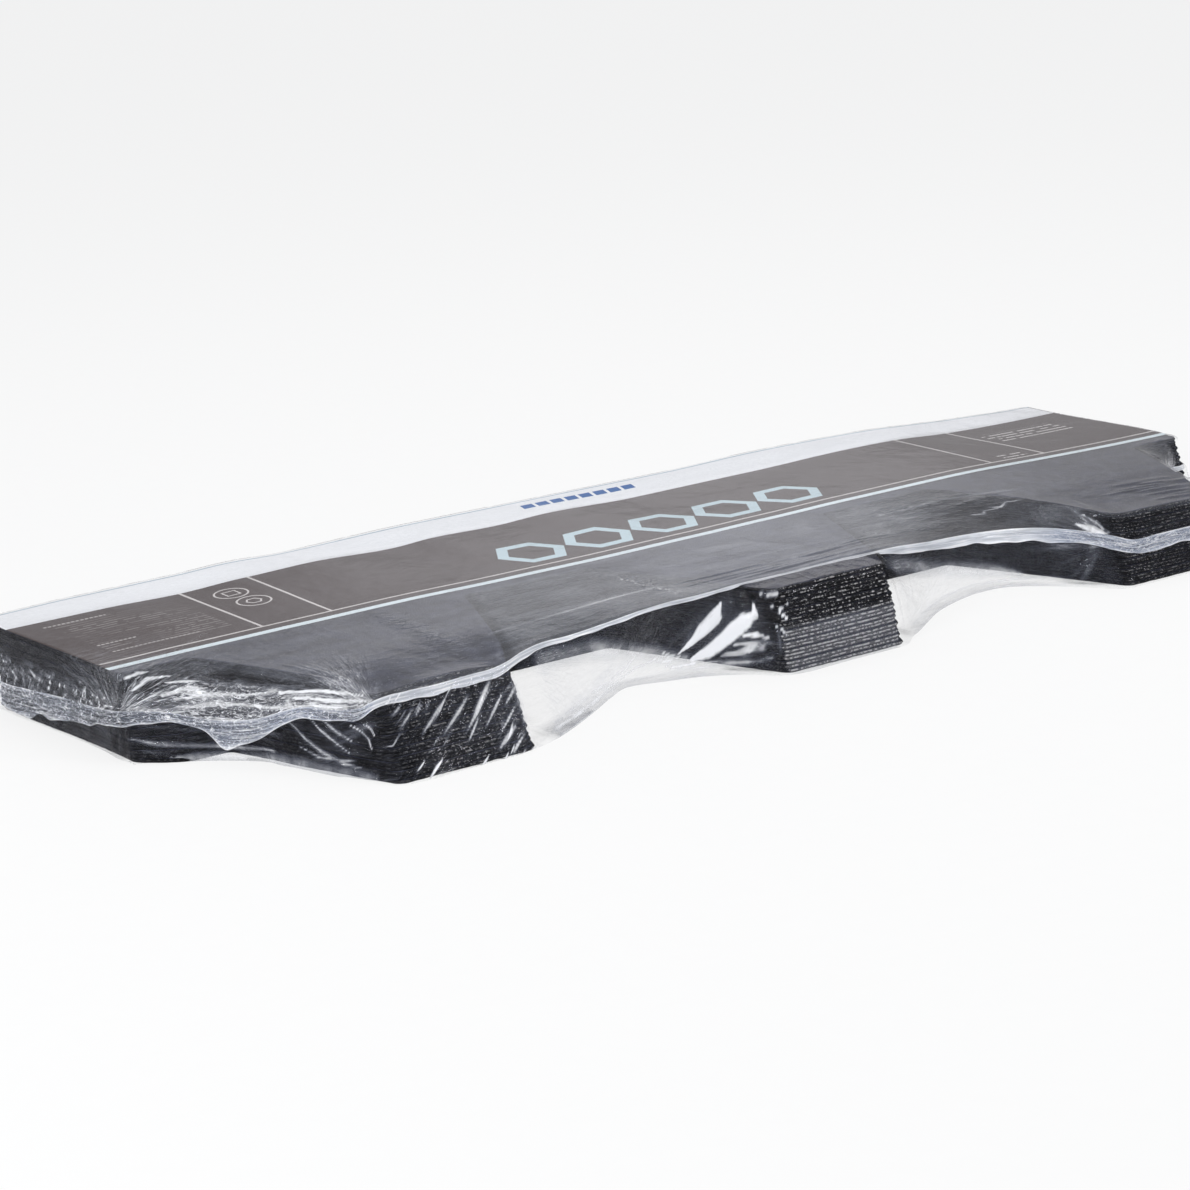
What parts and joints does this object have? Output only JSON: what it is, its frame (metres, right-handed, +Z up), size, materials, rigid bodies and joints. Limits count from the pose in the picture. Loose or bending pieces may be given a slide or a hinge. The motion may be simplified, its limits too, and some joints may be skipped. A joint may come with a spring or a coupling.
{
  "type": "asphalt shingle bundle",
  "caption": "Flat stack of black asphalt shingles with hexagonal tabs along one side, under a printed label sheet, sealed in clear shrink film with a welded seam.",
  "frame": {"origin": "under the middle of the bundle's bounding box, on the plane it lies on", "axes": "+X along the shingles' length, +Y from the tab tips towards the straight rear edge, +Z up through the stack"},
  "size_m": [1.0204, 0.3562, 0.0626],
  "materials": {
    "shingle": "matte",
    "label": "satin",
    "film": "gloss"
  },
  "bodies": {
    "root": {"shingle_01": "shingle", "shingle_02": "shingle", "shingle_03": "shingle", "shingle_04": "shingle", "shingle_05": "shingle", "shingle_06": "shingle", "shingle_07": "shingle", "shingle_08": "shingle", "shingle_09": "shingle", "shingle_10": "shingle", "shingle_11": "shingle", "shingle_12": "shingle", "shingle_13": "shingle", "shingle_14": "shingle", "shingle_15": "shingle", "shingle_16": "shingle", "shingle_17": "shingle", "shingle_18": "shingle", "shingle_19": "shingle", "shingle_20": "shingle", "shingle_21": "shingle", "shingle_22": "shingle", "label_sheet": "label", "shrink_film": "film"}
  },
  "joints": []
}
